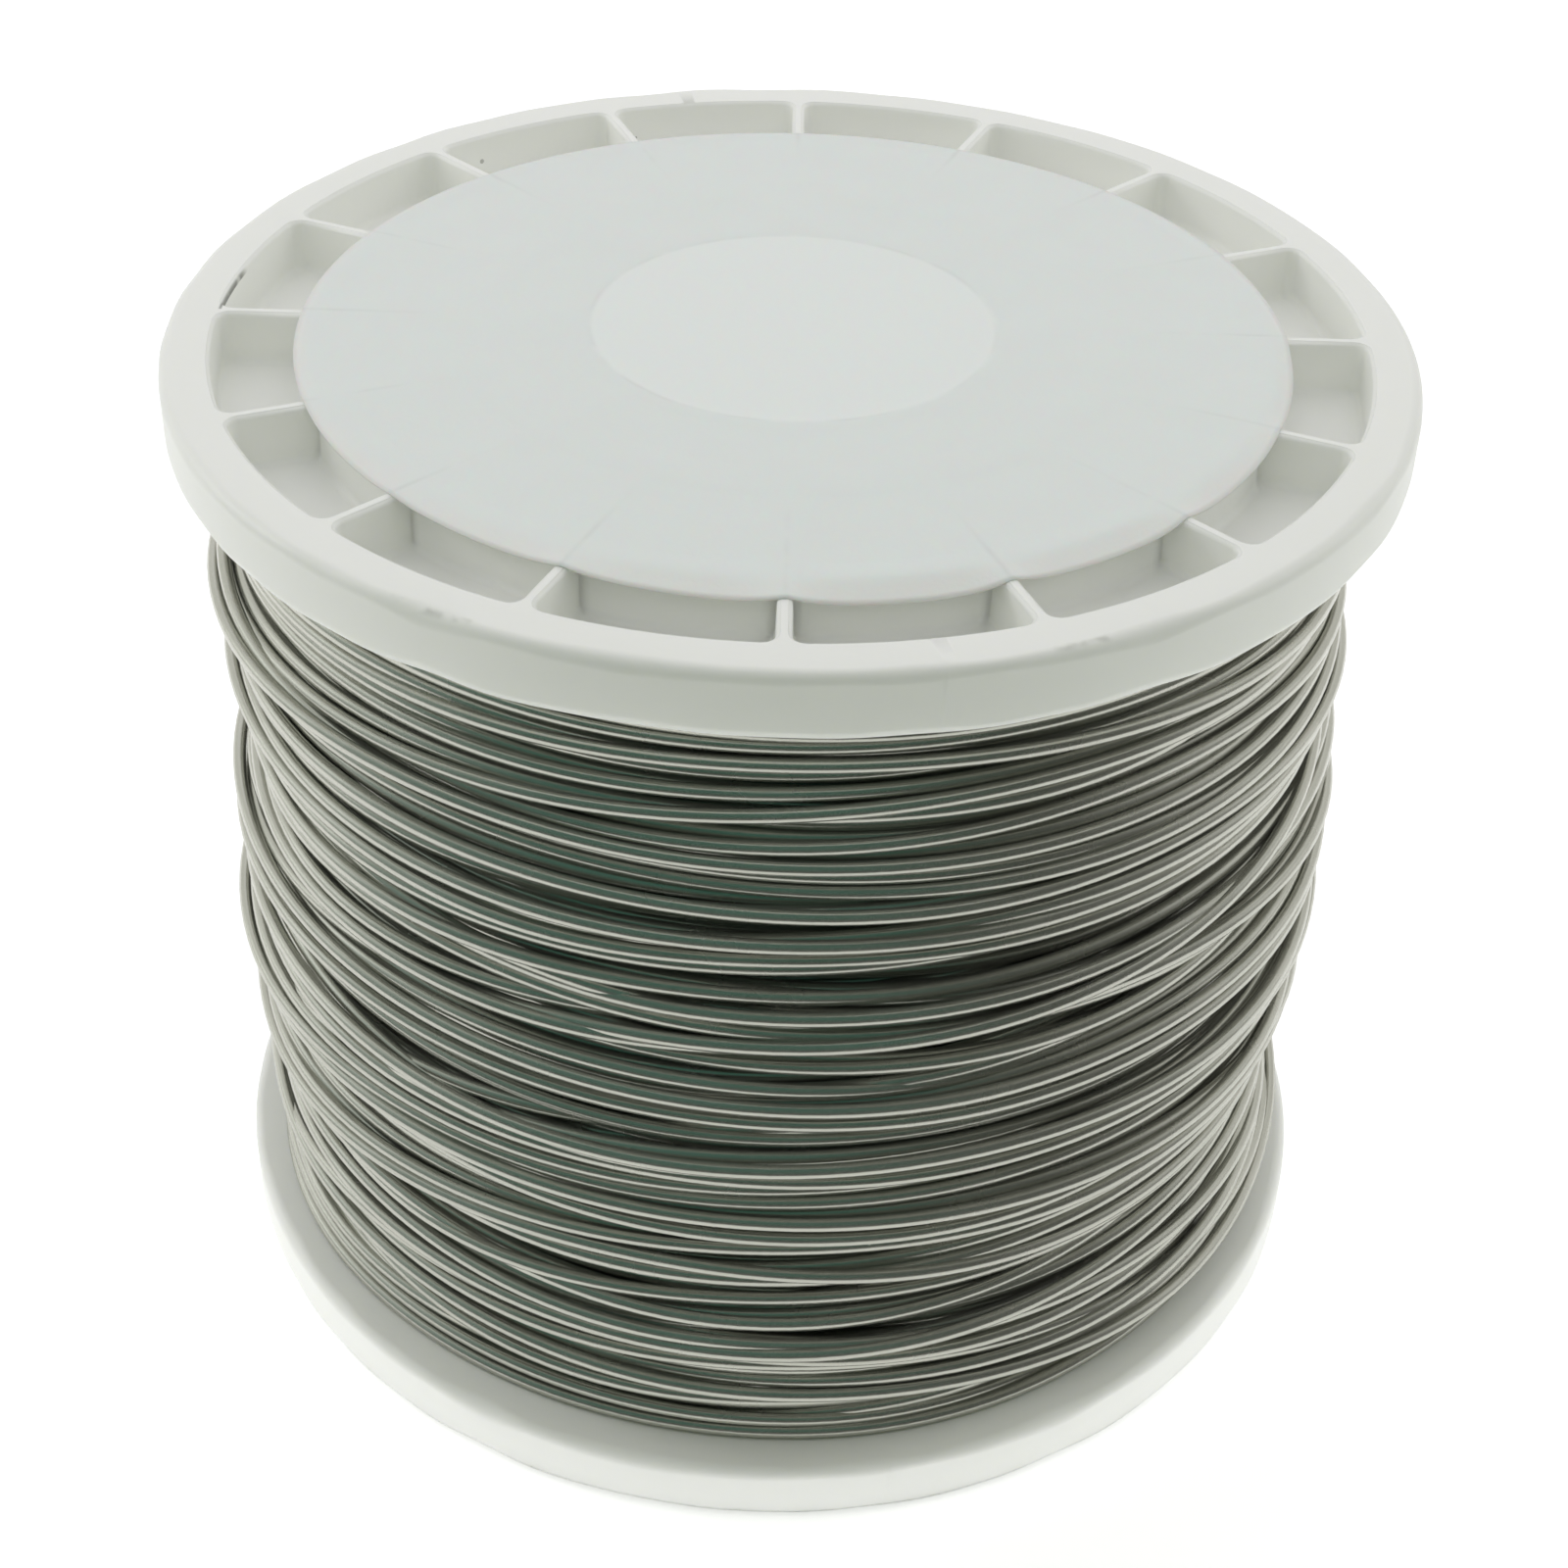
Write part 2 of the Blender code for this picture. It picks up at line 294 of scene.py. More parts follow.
bump = add_node(tree, "ShaderNodeBump",
                {"Height": grain, "Strength": grain_strength, "Distance": grain_depth}).outputs[0]
tree.links.new(bump, shader.inputs["Normal"])
shader.inputs["IOR"].default_value = 1.59
shader.inputs["Subsurface Weight"].default_value = milkiness
shader.inputs["Subsurface Radius"].default_value = (1.0, 1.0, 0.8)
shader.inputs["Subsurface Scale"].default_value = light_reach


def coring_tree():
    """Geometry nodes that set cores round the axis at both ends and cut them out of the blank."""
    tree = bpy.data.node_groups.new("cored_reel", "GeometryNodeTree")
    for name, kind in (("Blank", "Geometry"), ("Pocket", "Object"), ("Cell", "Object"), ("Rib Count", "Int"),
                       ("Web Count", "Int"), ("Reel Height", "Float"), ("Plastic", "Material")):
        tree.interface.new_socket(name, in_out="INPUT", socket_type="NodeSocket" + kind)
    tree.interface.new_socket("Reel", in_out="OUTPUT", socket_type="NodeSocketGeometry")
    given = add_node(tree, "NodeGroupInput").outputs
    index = add_node(tree, "GeometryNodeInputIndex").outputs[0]
    middle = add_node(tree, "ShaderNodeMath", {0: index, 1: 0.5}, operation="ADD").outputs[0]
    rings = []
    for core, count in (("Pocket", "Rib Count"), ("Cell", "Web Count")):
        shape = add_node(tree, "GeometryNodeObjectInfo", {"Object": given[core]}).outputs["Geometry"]
        spots = add_node(tree, "GeometryNodePoints", {"Count": given[count]}).outputs[0]
        pitch = add_node(tree, "ShaderNodeMath", {0: 2 * math.pi, 1: given[count]}, operation="DIVIDE")
        spin = add_node(tree, "ShaderNodeMath", {0: middle, 1: pitch.outputs[0]}, operation="MULTIPLY")
        turn = add_node(tree, "ShaderNodeCombineXYZ", {"Z": spin.outputs[0]}).outputs[0]
        ring = add_node(tree, "GeometryNodeInstanceOnPoints",
                        {"Points": spots, "Instance": shape, "Rotation": turn}).outputs[0]
        rings.append(add_node(tree, "GeometryNodeRealizeInstances", {0: ring}).outputs[0])
    lift = add_node(tree, "ShaderNodeCombineXYZ", {"Z": given["Reel Height"]}).outputs[0]
    turned_over = add_node(tree, "GeometryNodeTransform", {"Geometry": rings[0], "Translation": lift,
                                                           "Rotation": (math.pi, 0, 0)}).outputs[0]
    cores = add_node(tree, "GeometryNodeJoinGeometry")
    for part in (rings[0], turned_over, rings[1]):
        tree.links.new(part, cores.inputs[0])
    cut = add_node(tree, "GeometryNodeMeshBoolean", {"Mesh 1": given["Blank"], "Mesh 2": cores.outputs[0]},
                   operation="DIFFERENCE", solver="EXACT").outputs[0]
    smooth = add_node(tree, "GeometryNodeSetShadeSmooth", {"Geometry": cut}).outputs[0]
    whole = add_node(tree, "GeometryNodeRealizeInstances", {0: smooth}).outputs[0]
    finish = add_node(tree, "GeometryNodeSetMaterial", {"Geometry": whole, "Material": given["Plastic"]})
    add_node(tree, "NodeGroupOutput", {"Reel": finish.outputs[0]})
    return tree


def grow(piece, tree, values):
    """Sets a geometry node tree on a piece, with its inputs by name."""
    grown = piece.modifiers.new(tree.name, "NODES")
    grown.node_group = tree
    for item in tree.interface.items_tree:
        if item.in_out == "INPUT" and item.name in values:
            grown[item.identifier] = values[item.name]


def settle(piece):
    """Replaces a piece by the plain mesh that its modifiers make."""
    mesh = bpy.data.meshes.new_from_object(piece.evaluated_get(bpy.context.evaluated_depsgraph_get()))
    name = piece.name
    bpy.data.objects.remove(piece)
    settled = bpy.data.objects.new(name, mesh)
    scene.collection.objects.link(settled)
    return settled


grow(reel, coring_tree(), {"Pocket": pocket, "Cell": cell, "Rib Count": rib_count, "Web Count": web_count,
                           "Reel Height": reel_height, "Plastic": plastic})
reel.modifiers.new("even shading", "WEIGHTED_NORMAL").keep_sharp = False
reel = settle(reel)
bpy.data.objects.remove(pocket)
bpy.data.objects.remove(cell)
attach(reel, "root")
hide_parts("reel")

# Inner layers of wire
# The layers of solder wire next to the barrel, wound tight in a ring of 0.7 mm wire. They show only as a
# dark floor in the gaps between the loose turns above them.
wire_diameter = 0.0007
lay_depth = 0.0022
winding_radius = 0.0281
bulge, bulge_height, bulge_spread = 0.0007, 0.0230, 0.0050
valley, valley_height, valley_spread = 0.0006, 0.0322, 0.0026
shoulder, shoulder_height, shoulder_spread = 0.0008, 0.0481, 0.0050
flange_play = 0.00005
core_segments = 120
groove_points = 6


def winding_surface(z):
    """Outside radius of the winding: it swells below the middle, dips above it and narrows at the top."""
    swell = bulge * np.exp(-((z - bulge_height) / bulge_spread) ** 2)
    dip = valley * np.exp(-((z - valley_height) / valley_spread) ** 2)
    narrowing = shoulder * np.exp(-((z - shoulder_height) / shoulder_spread) ** 2)
    return winding_radius + swell - dip - narrowing


# Tin-lead solder, drawn through a die and left to dull in air: a soft grey metal whose gloss comes and goes
# along the wire.
dull_patch = 0.004
gloss_least, gloss_most = 0.2, 0.32
solder = bpy.data.materials.new("drawn_tin_lead_solder")
solder.use_nodes = True
tree = solder.node_tree
shader = tree.nodes["Principled BSDF"]
shader.inputs["Metallic"].default_value = 0.83
place = add_node(tree, "ShaderNodeTexCoord").outputs["Object"]
dulling = add_node(tree, "ShaderNodeTexNoise",
                   {"Vector": place, "Scale": 1 / dull_patch, "Detail": 3.0}).outputs[0]
tint = add_node(tree, "ShaderNodeMix", {0: dulling, 6: linear("B7B7AD"), 7: linear("C2C2B9")},
                data_type="RGBA").outputs[2]
tree.links.new(tint, shader.inputs["Base Color"])
polish = add_node(tree, "ShaderNodeMapRange",
                  {"Value": dulling, "To Min": gloss_least, "To Max": gloss_most}).outputs[0]
tree.links.new(polish, shader.inputs["Roughness"])

core_low = flange_thickness + flange_play
core_high = reel_height - flange_thickness - flange_play
core_turns = int((core_high - core_low) / wire_diameter)
core_outline = [(barrel_radius + flange_play, core_low + barrel_root)]
for z in np.linspace(core_low, core_high, core_turns * groove_points + 1):
    groove = abs(math.sin(math.pi * core_turns * (z - core_low) / (core_high - core_low)))
    core_outline.append((winding_surface(z) - lay_depth + (groove - 1) * wire_diameter / 2, z))
core_outline.append((barrel_radius + flange_play, core_high - barrel_root))
core_angles = np.linspace(0, 2 * math.pi, core_segments, endpoint=False)
inner_layers = add_object("inner_layers", turned([core_outline] * core_segments, core_angles))
inner_layers.data.materials.append(solder)
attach(inner_layers, "root")
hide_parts("wire_inner_layers")

# Outer layers of wire
# The last layers of the same length of wire, laid by a guide that moves to and fro along the reel. A turn
# slides into the groove between turns below it where it can, and crosses over them where it can't.
wire_sides = 10
points_per_turn = 144
layers = 4
turns_per_piece = 64
mean_pitch = 0.00078
pitch_scatter = 0.25
pile_feedback = 0.9
least_step, most_step = 0.5, 2.5
spare_turns = 1.6
layer_rise = 0.8
wander = 0.0009
wander_points = 14
gust = 0.6
gust_points = 90
stiff_points = 6
settle_rounds = 16
groove_pull = 0.00014
groove_probe = 0.00012
steepest = 1.5
guide_hold = 0.15
bell_reach = 3
lay_seed = 32
chance = np.random.default_rng(lay_seed)


def smoothed(values, width):
    """Running average with a bell-shaped window of the given width in points."""
    half = bell_reach * width
    window = np.exp(-0.5 * (np.arange(-half, half + 1) / width) ** 2)
    padded = np.pad(values, half, mode="edge")
    return np.convolve(padded, window / window.sum(), "valid")


def resting_radius(z, below_z, below_r):
    """Radius at which a turn at heights z rests on the turns already laid, or on the layers beneath."""
    rest = winding_surface(z) - lay_depth + wire_diameter / 2
    if len(below_z):
        overlap = wire_diameter ** 2 - (below_z - z) ** 2
        on_turns = np.where(overlap > 0, below_r + np.sqrt(np.maximum(overlap, 0)), 0)
        rest = np.maximum(rest, on_turns.max(axis=0))
    return rest


def lay_wire():
    """Lays the outer layers turn by turn. Returns the height and radius of the wire along its length.

    The finished route is smoothed, so turns sink into each other where they cross.
    """
    low = core_low + wire_diameter / 2
    high = core_high - wire_diameter / 2
    most_turns = int(layers * (high - low) / mean_pitch * spare_turns)
    drift = smoothed(chance.standard_normal(most_turns * points_per_turn), wander_points)
    gusts = smoothed(chance.standard_normal(most_turns * points_per_turn), gust_points)
    sway = wander * drift / drift.std() * np.exp(gust * gusts / gusts.std())
    heights, radii = np.empty((0, points_per_turn)), np.empty((0, points_per_turn))
    guide, direction, layer = low, 1, 0
    along = np.arange(points_per_turn) / points_per_turn
    while layer < layers and len(heights) < most_turns:
        here = np.full(points_per_turn, guide)
        pile = np.mean(resting_radius(here, heights, radii) - resting_radius(here, (), ())) / wire_diameter
        crowding = np.clip(pile - layer * layer_rise, -1, 1)
        step = pitch_scatter * chance.standard_normal() + pile_feedback * crowding
        step = mean_pitch * min(max(math.exp(step), least_step), most_step)
        following = min(max(guide + direction * step, low), high)
        turn = len(heights)
        planned = guide + (following - guide) * along
        planned = np.clip(planned + sway[turn * points_per_turn:(turn + 1) * points_per_turn], low, high)
        z = planned.copy()
        before = heights[-1] if turn else np.full(points_per_turn, z[0])
        for _ in range(settle_rounds):
            uphill = (resting_radius(z + groove_probe, heights, radii)
                      - resting_radius(z - groove_probe, heights, radii)) / (2 * groove_probe)
            z = z - groove_pull * np.clip(uphill, -steepest, steepest)
            z = smoothed(np.concatenate((before, z, np.full(points_per_turn, z[-1]))), stiff_points)
            z = z[points_per_turn:2 * points_per_turn]
            z = np.clip(z + guide_hold * (planned - z), low, high)
        radii = np.vstack((radii, resting_radius(z, heights, radii)))
        heights = np.vstack((heights, z))
        if following in (low, high):
            direction, layer = -direction, layer + 1
        guide = following
    return smoothed(heights.ravel(), stiff_points // 2), smoothed(radii.ravel(), stiff_points)


def wire_tree():
    """Geometry nodes that draw a round wire along a route."""
    tree = bpy.data.node_groups.new("drawn_wire", "GeometryNodeTree")
    for name, kind in (("Route", "Geometry"), ("Diameter", "Float"), ("Sides", "Int"),
                       ("Solder", "Material")):
        tree.interface.new_socket(name, in_out="INPUT", socket_type="NodeSocket" + kind)
    tree.interface.new_socket("Wire", in_out="OUTPUT", socket_type="NodeSocketGeometry")
    given = add_node(tree, "NodeGroupInput").outputs
    radius = add_node(tree, "ShaderNodeMath", {0: given["Diameter"], 1: 0.5},
                      operation="MULTIPLY").outputs[0]
    die = add_node(tree, "GeometryNodeCurvePrimitiveCircle",
                   {"Resolution": given["Sides"], "Radius": radius}).outputs[0]
    drawn = add_node(tree, "GeometryNodeCurveToMesh",
                     {"Curve": given["Route"], "Profile Curve": die, "Fill Caps": True}).outputs[0]
    smooth = add_node(tree, "GeometryNodeSetShadeSmooth", {"Geometry": drawn}).outputs[0]
    whole = add_node(tree, "GeometryNodeRealizeInstances", {0: smooth}).outputs[0]
    finish = add_node(tree, "GeometryNodeSetMaterial", {"Geometry": whole, "Material": given["Solder"]})
    add_node(tree, "NodeGroupOutput", {"Wire": finish.outputs[0]})
    return tree


wire_z, wire_r = lay_wire()
turn_angle = math.pi / 2 + 2 * math.pi * np.arange(len(wire_z)) / points_per_turn
wire_points = np.stack((wire_r * np.cos(turn_angle), wire_r * np.sin(turn_angle), wire_z), axis=1)
wire_nodes = wire_tree()
piece_points = turns_per_piece * points_per_turn
for first in range(0, len(wire_points) - 1, piece_points):
    stretch = wire_points[first:first + piece_points + 1]
    route = bpy.data.curves.new("wire_route", "CURVE")
    route.dimensions = "3D"
    spline = route.splines.new("POLY")
    spline.points.add(len(stretch) - 1)
    spline.points.foreach_set("co", np.column_stack((stretch, np.ones(len(stretch)))).ravel())
    coil = bpy.data.objects.new(f"wound_wire_{first // piece_points + 1}", route)
    scene.collection.objects.link(coil)
    grow(coil, wire_nodes, {"Diameter": wire_diameter, "Sides": wire_sides, "Solder": solder})
    coil = settle(coil)
    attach(coil, "root")
    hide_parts("wire_outer_layer")

# Label
# A round disc of self-adhesive paper, stuck on the upper flange a little off centre. It lies on the hub, the
# ribs and the ring round them, shows them faintly, and its free edge has dropped a little between the ribs.
label_low, label_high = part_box("label")
label_middle = (label_low + label_high) / 2
label_radius = (label_high.x - label_low.x) / 2
paper_thickness = 0.0001
paper_lift = 0.00004
label_rings = 79
label_segments = 384
hub_dip = 0.00005
cell_sag = 0.00004
pocket_sag = 0.00004
press_width = 0.0005
least_bend = math.tan(math.radians(4))
most_bend = math.tan(math.radians(22))
bend_side = math.radians(-40)
bend_spread = (0.6, 1.2)
rib_flatness = 4
bend_seed = 11
chance = np.random.default_rng(bend_seed)
bend_luck = chance.uniform(*bend_spread, rib_count)


def between(value, low, high):
    """1 between two limits, 0 outside them, with soft steps of the width that paper takes to bend."""
    return np.clip((value - low) / press_width, 0, 1) * np.clip((high - value) / press_width, 0, 1)


def label_sag(x, y):
    """How far the paper has dropped below the ribs at a point."""
    r = np.hypot(x, y)
    a = np.arctan2(y, x)
    number = np.floor(a / rib_pitch).astype(int) % rib_count
    across = a / rib_pitch - np.floor(a / rib_pitch)
    off_ribs = 1 - np.abs(2 * across - 1) ** rib_flatness
    off_webs = np.abs(np.sin(web_count / 2 * (a - math.pi / 2)))
    sag = hub_dip * np.clip((hub_radius - r) / press_width, 0, 1)
    sag = sag + cell_sag * off_webs * between(r, hub_radius, cell_outside)
    sag = sag + pocket_sag * off_ribs * between(r, barrel_radius, seat_outside - seat_wall)
    facing = (0.5 + 0.5 * np.cos(a - bend_side)) ** 2
    bend = (least_bend + (most_bend - least_bend) * facing) * bend_luck[number]
    return sag + bend * off_ribs * np.maximum(r - seat_outside + edge_softness, 0)


shape = bmesh.new()
rings = []
for ring in range(1, label_rings + 1):
    r = label_radius * ring / label_rings
    a = np.linspace(0, 2 * math.pi, label_segments, endpoint=False)
    x = label_middle.x + r * np.cos(a)
    y = label_middle.y + r * np.sin(a)
    z = reel_height + paper_lift + paper_thickness - label_sag(x, y)
    rings.append([shape.verts.new(point) for point in zip(x, y, z)])
middle_z = reel_height + paper_lift + paper_thickness - float(label_sag(label_middle.x, label_middle.y))
middle = shape.verts.new((label_middle.x, label_middle.y, middle_z))
for i in range(label_segments):
    shape.faces.new((middle, rings[0][i - 1], rings[0][i]))
for ring, following in zip(rings, rings[1:]):
    for i in range(label_segments):
        shape.faces.new((ring[i - 1], following[i - 1], following[i], ring[i]))
label = add_object("paper_label", shape)
thicken = label.modifiers.new("paper", "SOLIDIFY")
thicken.thickness = paper_thickness
thicken.offset = -1.0
label = settle(label)

# Uncoated white paper: matt and faintly cloudy from its fibres. Over the hub it is painted whiter, as light
# shining through the paper, and fine dark lines of painted shade mark its creases on the hub's edge and
# ribs.
flock_size = 0.003
fibre_size = 0.00024
# Widths, reach, patchiness and darkness of the painted shade lines, and the soft edge of the painted light
# over the hub.
painted_edge_half_width = 0.0002
crease_shade_start = 0.017
crease_shade_full = 0.022
crease_shade_patch_size = 0.0025
crease_shade_bare, crease_shade_whole = 0.35, 0.65
crease_shade_darkness = 0.1
hub_edge_radius = 0.0098
fibre_strength, fibre_depth = 0.12, 0.0001
paper = bpy.data.materials.new("uncoated_label_paper")
paper.use_nodes = True
tree = paper.node_tree
shader = tree.nodes["Principled BSDF"]
place = add_node(tree, "ShaderNodeTexCoord").outputs["Object"]
cloud = add_node(tree, "ShaderNodeTexNoise",
                 {"Vector": place, "Scale": 1 / flock_size, "Detail": 4.0}).outputs[0]
fibre = add_node(tree, "ShaderNodeTexNoise",
                 {"Vector": place, "Scale": 1 / fibre_size, "Detail": 3.0}).outputs[0]
tint = add_node(tree, "ShaderNodeMix", {0: cloud, 6: linear("EDEDEA"), 7: linear("EFF0ED")},
                data_type="RGBA").outputs[2]
axes = add_node(tree, "ShaderNodeSeparateXYZ", {"Vector": place}).outputs
flat = add_node(tree, "ShaderNodeCombineXYZ", {"X": axes["X"], "Y": axes["Y"]}).outputs[0]
from_axis = add_node(tree, "ShaderNodeVectorMath", {0: flat}, operation="LENGTH").outputs["Value"]
# Painted light: the paper is painted whiter inside the hub's edge, for light shining up through it.
painted_hub_light = add_node(tree, "ShaderNodeMapRange", {"Value": from_axis, "From Min": hub_edge_radius + painted_edge_half_width,
                                               "From Max": hub_edge_radius - painted_edge_half_width}).outputs[0]
tint = add_node(tree, "ShaderNodeMix", {0: painted_hub_light, 6: tint, 7: linear("F5F4F1")},
                data_type="RGBA").outputs[2]
round_axis = add_node(tree, "ShaderNodeMath", {0: axes["Y"], 1: axes["X"]}, operation="ARCTAN2").outputs[0]
# Painted shade: fine dark lines where the paper creases over the ribs and the hub's edge, broken up by
# noise.
near_rib = add_node(tree, "ShaderNodeMath", {0: round_axis, 1: rib_pitch / 2},
                    operation="PINGPONG").outputs[0]
off_rib = add_node(tree, "ShaderNodeMath", {0: near_rib, 1: from_axis}, operation="MULTIPLY").outputs[0]
off_hub = add_node(tree, "ShaderNodeMath", {0: from_axis, 1: hub_edge_radius}, operation="SUBTRACT").outputs[0]
off_hub = add_node(tree, "ShaderNodeMath", {0: off_hub}, operation="ABSOLUTE").outputs[0]
crease_shades = []
for off in (off_rib, off_hub):
    crease_shades.append(add_node(tree, "ShaderNodeMapRange", {"Value": off, "From Min": painted_edge_half_width,
                                                      "From Max": 0.0}).outputs[0])
reach = add_node(tree, "ShaderNodeMapRange", {"Value": from_axis, "From Min": crease_shade_start,
                                              "From Max": crease_shade_full}).outputs[0]
rib_crease_shade = add_node(tree, "ShaderNodeMath", {0: crease_shades[0], 1: reach}, operation="MULTIPLY").outputs[0]
crease_shade = add_node(tree, "ShaderNodeMath", {0: rib_crease_shade, 1: crease_shades[1]}, operation="MAXIMUM").outputs[0]
crease_shade_patches = add_node(tree, "ShaderNodeTexNoise", {"Vector": place, "Scale": 1 / crease_shade_patch_size}).outputs[0]
crease_shade_patches = add_node(tree, "ShaderNodeMapRange", {"Value": crease_shade_patches, "From Min": crease_shade_bare,
                                               "From Max": crease_shade_whole, "To Max": crease_shade_darkness}).outputs[0]
crease_shade = add_node(tree, "ShaderNodeMath", {0: crease_shade, 1: crease_shade_patches}, operation="MULTIPLY").outputs[0]
# Mixes the painted crease shade into the paper's colour.
tint = add_node(tree, "ShaderNodeMix", {0: crease_shade, 6: tint, 7: linear("8C8C86")},
                data_type="RGBA").outputs[2]
tree.links.new(tint, shader.inputs["Base Color"])
bump = add_node(tree, "ShaderNodeBump",
                {"Height": fibre, "Strength": fibre_strength, "Distance": fibre_depth}).outputs[0]
tree.links.new(bump, shader.inputs["Normal"])
shader.inputs["Roughness"].default_value = 0.75
shader.inputs["IOR"].default_value = 1.45
shader.inputs["Specular IOR Level"].default_value = 0.3
shader.inputs["Subsurface Weight"].default_value = 0.3
shader.inputs["Subsurface Scale"].default_value = 0.0003
label.data.materials.append(paper)
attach(label, "root")
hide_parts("label")

# Floor
# A plain white sheet that the spool stands on. It is white to the camera and in reflections, and it keeps
# the spool's soft shadow.
sheet_glow = 0.54
floor_drop = 0.00002
floor_half = 3.0
shape = bmesh.new()
bmesh.ops.create_grid(shape, x_segments=1, y_segments=1, size=floor_half)
floor = add_object("floor", shape)
floor.location.z = -floor_drop
white = bpy.data.materials.new("white_sheet")
white.use_nodes = True
tree = white.node_tree
shader = tree.nodes["Principled BSDF"]
shader.inputs["Base Color"].default_value = linear("F9F9F9")
shader.inputs["Roughness"].default_value = 0.9
shader.inputs["Specular IOR Level"].default_value = 0.0
shader.inputs["Emission Color"].default_value = (1.0, 1.0, 1.0, 1.0)


def seen_straight(tree):
    """1 for rays that show the backdrop straight, in a reflection or through glass, 0 for bounced light."""
    rays = add_node(tree, "ShaderNodeLightPath").outputs
    seen = rays["Is Camera Ray"]
    for kind in ("Is Glossy Ray", "Is Transmission Ray"):
        seen = add_node(tree, "ShaderNodeMath", {0: seen, 1: rays[kind]}, operation="MAXIMUM").outputs[0]
    return seen


lift = add_node(tree, "ShaderNodeMath", {0: seen_straight(tree), 1: sheet_glow},
                operation="MULTIPLY").outputs[0]
tree.links.new(lift, shader.inputs["Emission Strength"])
floor.data.materials.append(white)

# Studio
# An even white dome with a softbox at each side. Cards in front stand for the dark room behind the camera,
# which the wire reflects above the white floor, for green things low in that room, which darken the rim, and
# for a white table edge that lights the lower rim.
dome_low = 0.42
dome_high = 0.84
world = bpy.data.worlds.new("studio")
scene.world = world
world.use_nodes = True
tree = world.node_tree
place = add_node(tree, "ShaderNodeTexCoord").outputs["Generated"]
height = add_node(tree, "ShaderNodeSeparateXYZ", {"Vector": place}).outputs["Z"]
dome = add_node(tree, "ShaderNodeMapRange",
                {"Value": height, "To Min": dome_low, "To Max": dome_high}).outputs[0]
strength = add_node(tree, "ShaderNodeMapRange", {"Value": seen_straight(tree), "To Min": dome,
                                                 "To Max": 1.0}).outputs[0]
tree.nodes["Background"].inputs["Color"].default_value = (1.0, 1.0, 1.0, 1.0)
tree.links.new(strength, tree.nodes["Background"].inputs["Strength"])


def add_card(name, inner, outer, widest, fade_start, fade_end, low_colour, left_colour, right_colour,
             edge_colour, glow):
    """Card round the front of the spool, from an inner to an outer (radius, height).

    Its foot runs straight across, as far out as the widest number of times its radius, or round a circle
    at 1. Its low colour turns to the left and right ones with height, and they to the edge one at its sides.
    """
    points = []
    for a in np.linspace(card_turn - fade_end, card_turn + fade_end, card_steps + 1):
        spread = 1 / max(math.cos(a - card_turn), 1 / widest)
        for r, z in ((inner[0] * spread, inner[1]), outer):
            points.append((r * math.sin(a), -r * math.cos(a), z))
    mesh = bpy.data.meshes.new(name)
    mesh.from_pydata(points, [], [(2 * i, 2 * i + 1, 2 * i + 3, 2 * i + 2) for i in range(card_steps)])
    card = bpy.data.objects.new(name, mesh)
    scene.collection.objects.link(card)
    finish = bpy.data.materials.new(name)
    finish.use_nodes = True
    tree = finish.node_tree
    tree.nodes.remove(tree.nodes["Principled BSDF"])
    place = add_node(tree, "ShaderNodeTexCoord").outputs["Object"]
    axes = add_node(tree, "ShaderNodeSeparateXYZ", {"Vector": place}).outputs
    front = add_node(tree, "ShaderNodeMath", {0: axes["Y"], 1: -1.0}, operation="MULTIPLY").outputs[0]
    angle = add_node(tree, "ShaderNodeMath", {0: axes["X"], 1: front}, operation="ARCTAN2").outputs[0]
    angle = add_node(tree, "ShaderNodeMath", {0: angle, 1: card_turn}, operation="SUBTRACT").outputs[0]
    aside = add_node(tree, "ShaderNodeMapRange", {"Value": angle, "From Min": 0.0, "From Max": fade_start},
                     interpolation_type="SMOOTHSTEP").outputs[0]
    shade = add_node(tree, "ShaderNodeMix", {0: aside, 6: left_colour, 7: right_colour},
                     data_type="RGBA").outputs[2]
    rise = add_node(tree, "ShaderNodeMapRange",
                    {"Value": axes["Z"], "From Min": dusk_start, "From Max": dusk_end},
                    interpolation_type="SMOOTHSTEP").outputs[0]
    shade = add_node(tree, "ShaderNodeMix", {0: rise, 6: low_colour, 7: shade}, data_type="RGBA").outputs[2]
    angle = add_node(tree, "ShaderNodeMath", {0: angle}, operation="ABSOLUTE").outputs[0]
    fade = add_node(tree, "ShaderNodeMapRange",
                    {"Value": angle, "From Min": fade_start, "From Max": fade_end},
                    interpolation_type="SMOOTHSTEP").outputs[0]
    shade = add_node(tree, "ShaderNodeMix", {0: fade, 6: shade, 7: edge_colour},
                     data_type="RGBA").outputs[2]
    light = add_node(tree, "ShaderNodeEmission", {"Color": shade, "Strength": glow}).outputs[0]
    behind = add_node(tree, "ShaderNodeNewGeometry").outputs["Backfacing"]
    clear = add_node(tree, "ShaderNodeBsdfTransparent").outputs[0]
    one_sided = add_node(tree, "ShaderNodeMixShader", {0: behind, 1: light, 2: clear}).outputs[0]
    tree.links.new(one_sided, tree.nodes["Material Output"].inputs["Surface"])
    mesh.materials.append(finish)
    card.visible_camera = False
    card.visible_shadow = False
    return card


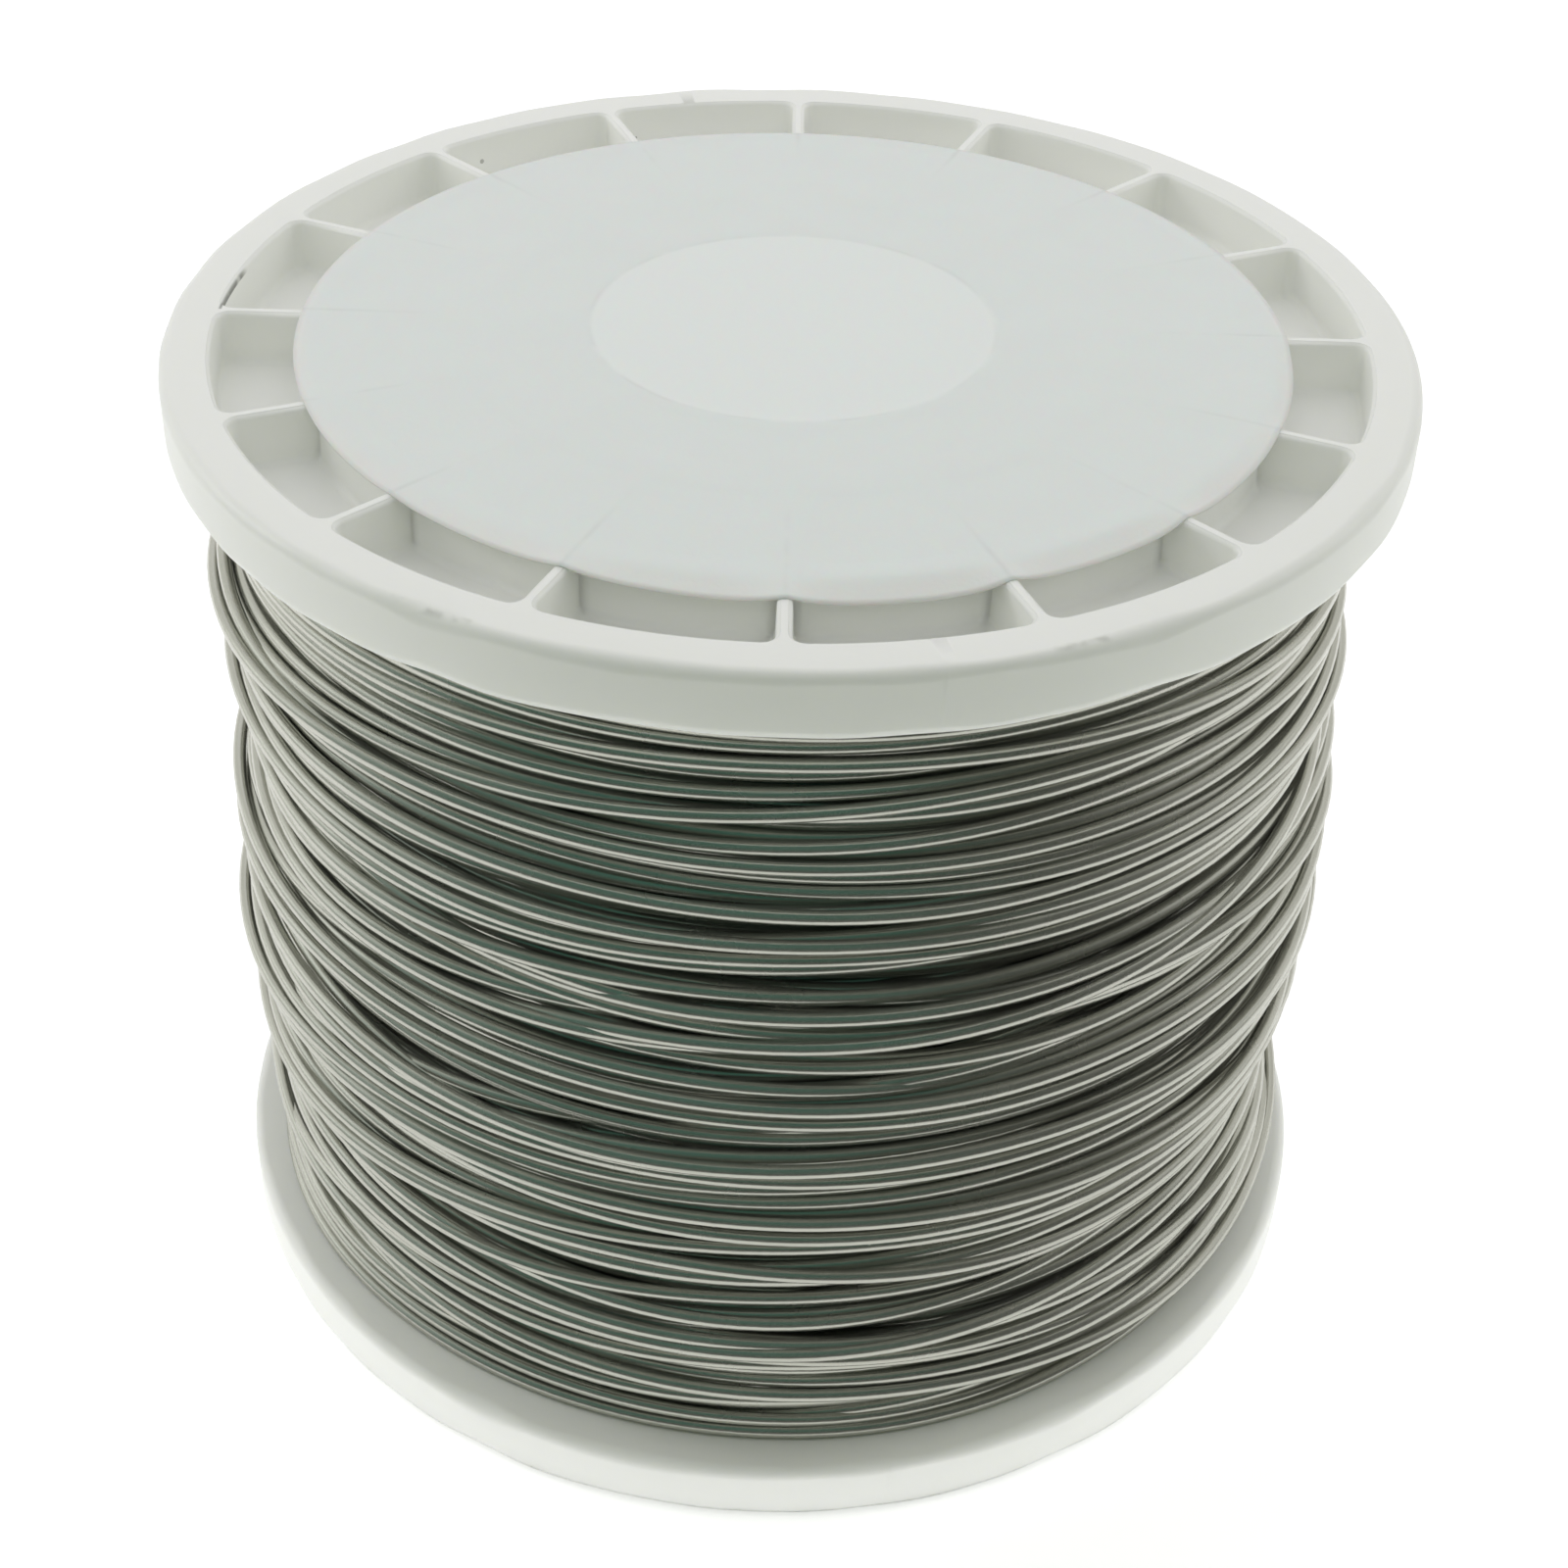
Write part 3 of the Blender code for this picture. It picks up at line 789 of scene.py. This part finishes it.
card_turn = math.radians(5)
card_steps = 24
room_fade = np.radians((45, 150))
rim_fade = np.radians((40, 85))
room_foot = (0.095, 0.0)
room_top = (0.03, 0.5)
low_foot = (0.1, 0.02)
low_top = (0.1, 0.095)
rim_gap, fill_height = 0.0002, 0.0003
rim_foot = (flange_radius + rim_gap, fill_height)
fill_reach = (0.1, fill_height)
dusk_start, dusk_end = 0.02, 0.08
straight_out = 5
fill_glow = 1.35
dusk, teal, grey, leaf = linear("403D39"), linear("35675C"), linear("444542"), linear("3A5222")
wall, sheet, paper_white = linear("F4F4F0"), linear("E8E8E4"), linear("FFFFFF")
for name, inner, outer, widest, fades, colours, glow, seen_by in (
        ("dark_room_card", room_foot, room_top, straight_out, room_fade, (dusk, teal, grey, wall), 1.0,
         "glossy"),
        ("green_front_card", low_foot, low_top, 1, rim_fade, (leaf, leaf, leaf, sheet), 1.0, "diffuse"),
        ("white_fill_card", rim_foot, fill_reach, 1, rim_fade, (paper_white,) * 4, fill_glow, "diffuse")):
    card = add_card(name, inner, outer, widest, *fades, *colours, glow)
    card.visible_diffuse = seen_by == "diffuse"
    card.visible_glossy = seen_by == "glossy"
softbox_angle, softbox_rise, softbox_distance = math.radians(106), math.radians(26), 0.5
softbox_width, softbox_height = 0.12, 0.2
left_power, right_power = 0.34, 0.22
for name, side, power in (("left_softbox", -1, left_power), ("right_softbox", 1, right_power)):
    softbox = bpy.data.lights.new(name, "AREA")
    softbox.shape = "RECTANGLE"
    softbox.size = softbox_width
    softbox.size_y = softbox_height
    softbox.energy = power
    lamp = bpy.data.objects.new(name, softbox)
    lamp_way = Vector((side * math.sin(softbox_angle) * math.cos(softbox_rise),
                       -math.cos(softbox_angle) * math.cos(softbox_rise), math.sin(softbox_rise)))
    lamp.location = lamp_way * softbox_distance
    lamp.rotation_euler = lamp_way.to_track_quat("Z", "Y").to_euler()
    lamp.visible_camera = False
    scene.collection.objects.link(lamp)

# Camera
# It stands where the photograph was taken from, worked out from the rims of the two flanges.
camera_elevation = math.radians(35.924)
camera_radii, reel_radii = 4.766, 1.7138
camera_distance = camera_radii * flange_radius
aim_yaw, aim_pitch, aim_roll = math.radians(0.088), math.radians(-0.58), math.radians(1.592)
focal_pixels, image_pixels, sensor_mm = 2706.6, 1600, 36.0
nearest_seen = 0.005
aim_height = reel_radii * flange_radius / 2
spot = Vector((0, -camera_distance * math.cos(camera_elevation),
               aim_height + camera_distance * math.sin(camera_elevation)))
forward = Vector((0, math.cos(camera_elevation), -math.sin(camera_elevation)))
right = Vector((1, 0, 0))
up = right.cross(forward)
forward, right = (math.cos(aim_yaw) * forward + math.sin(aim_yaw) * right,
                  math.cos(aim_yaw) * right - math.sin(aim_yaw) * forward)
forward, up = (math.cos(aim_pitch) * forward + math.sin(aim_pitch) * up,
               math.cos(aim_pitch) * up - math.sin(aim_pitch) * forward)
right, up = (math.cos(aim_roll) * right + math.sin(aim_roll) * up,
             math.cos(aim_roll) * up - math.sin(aim_roll) * right)
lens = bpy.data.cameras.new("camera")
lens.sensor_width = sensor_mm
lens.lens = focal_pixels / image_pixels * sensor_mm
lens.clip_start = nearest_seen
camera = bpy.data.objects.new("camera", lens)
camera.matrix_world = Matrix.Translation(spot) @ Matrix((right, up, -forward)).transposed().to_4x4()
scene.collection.objects.link(camera)
scene.camera = camera
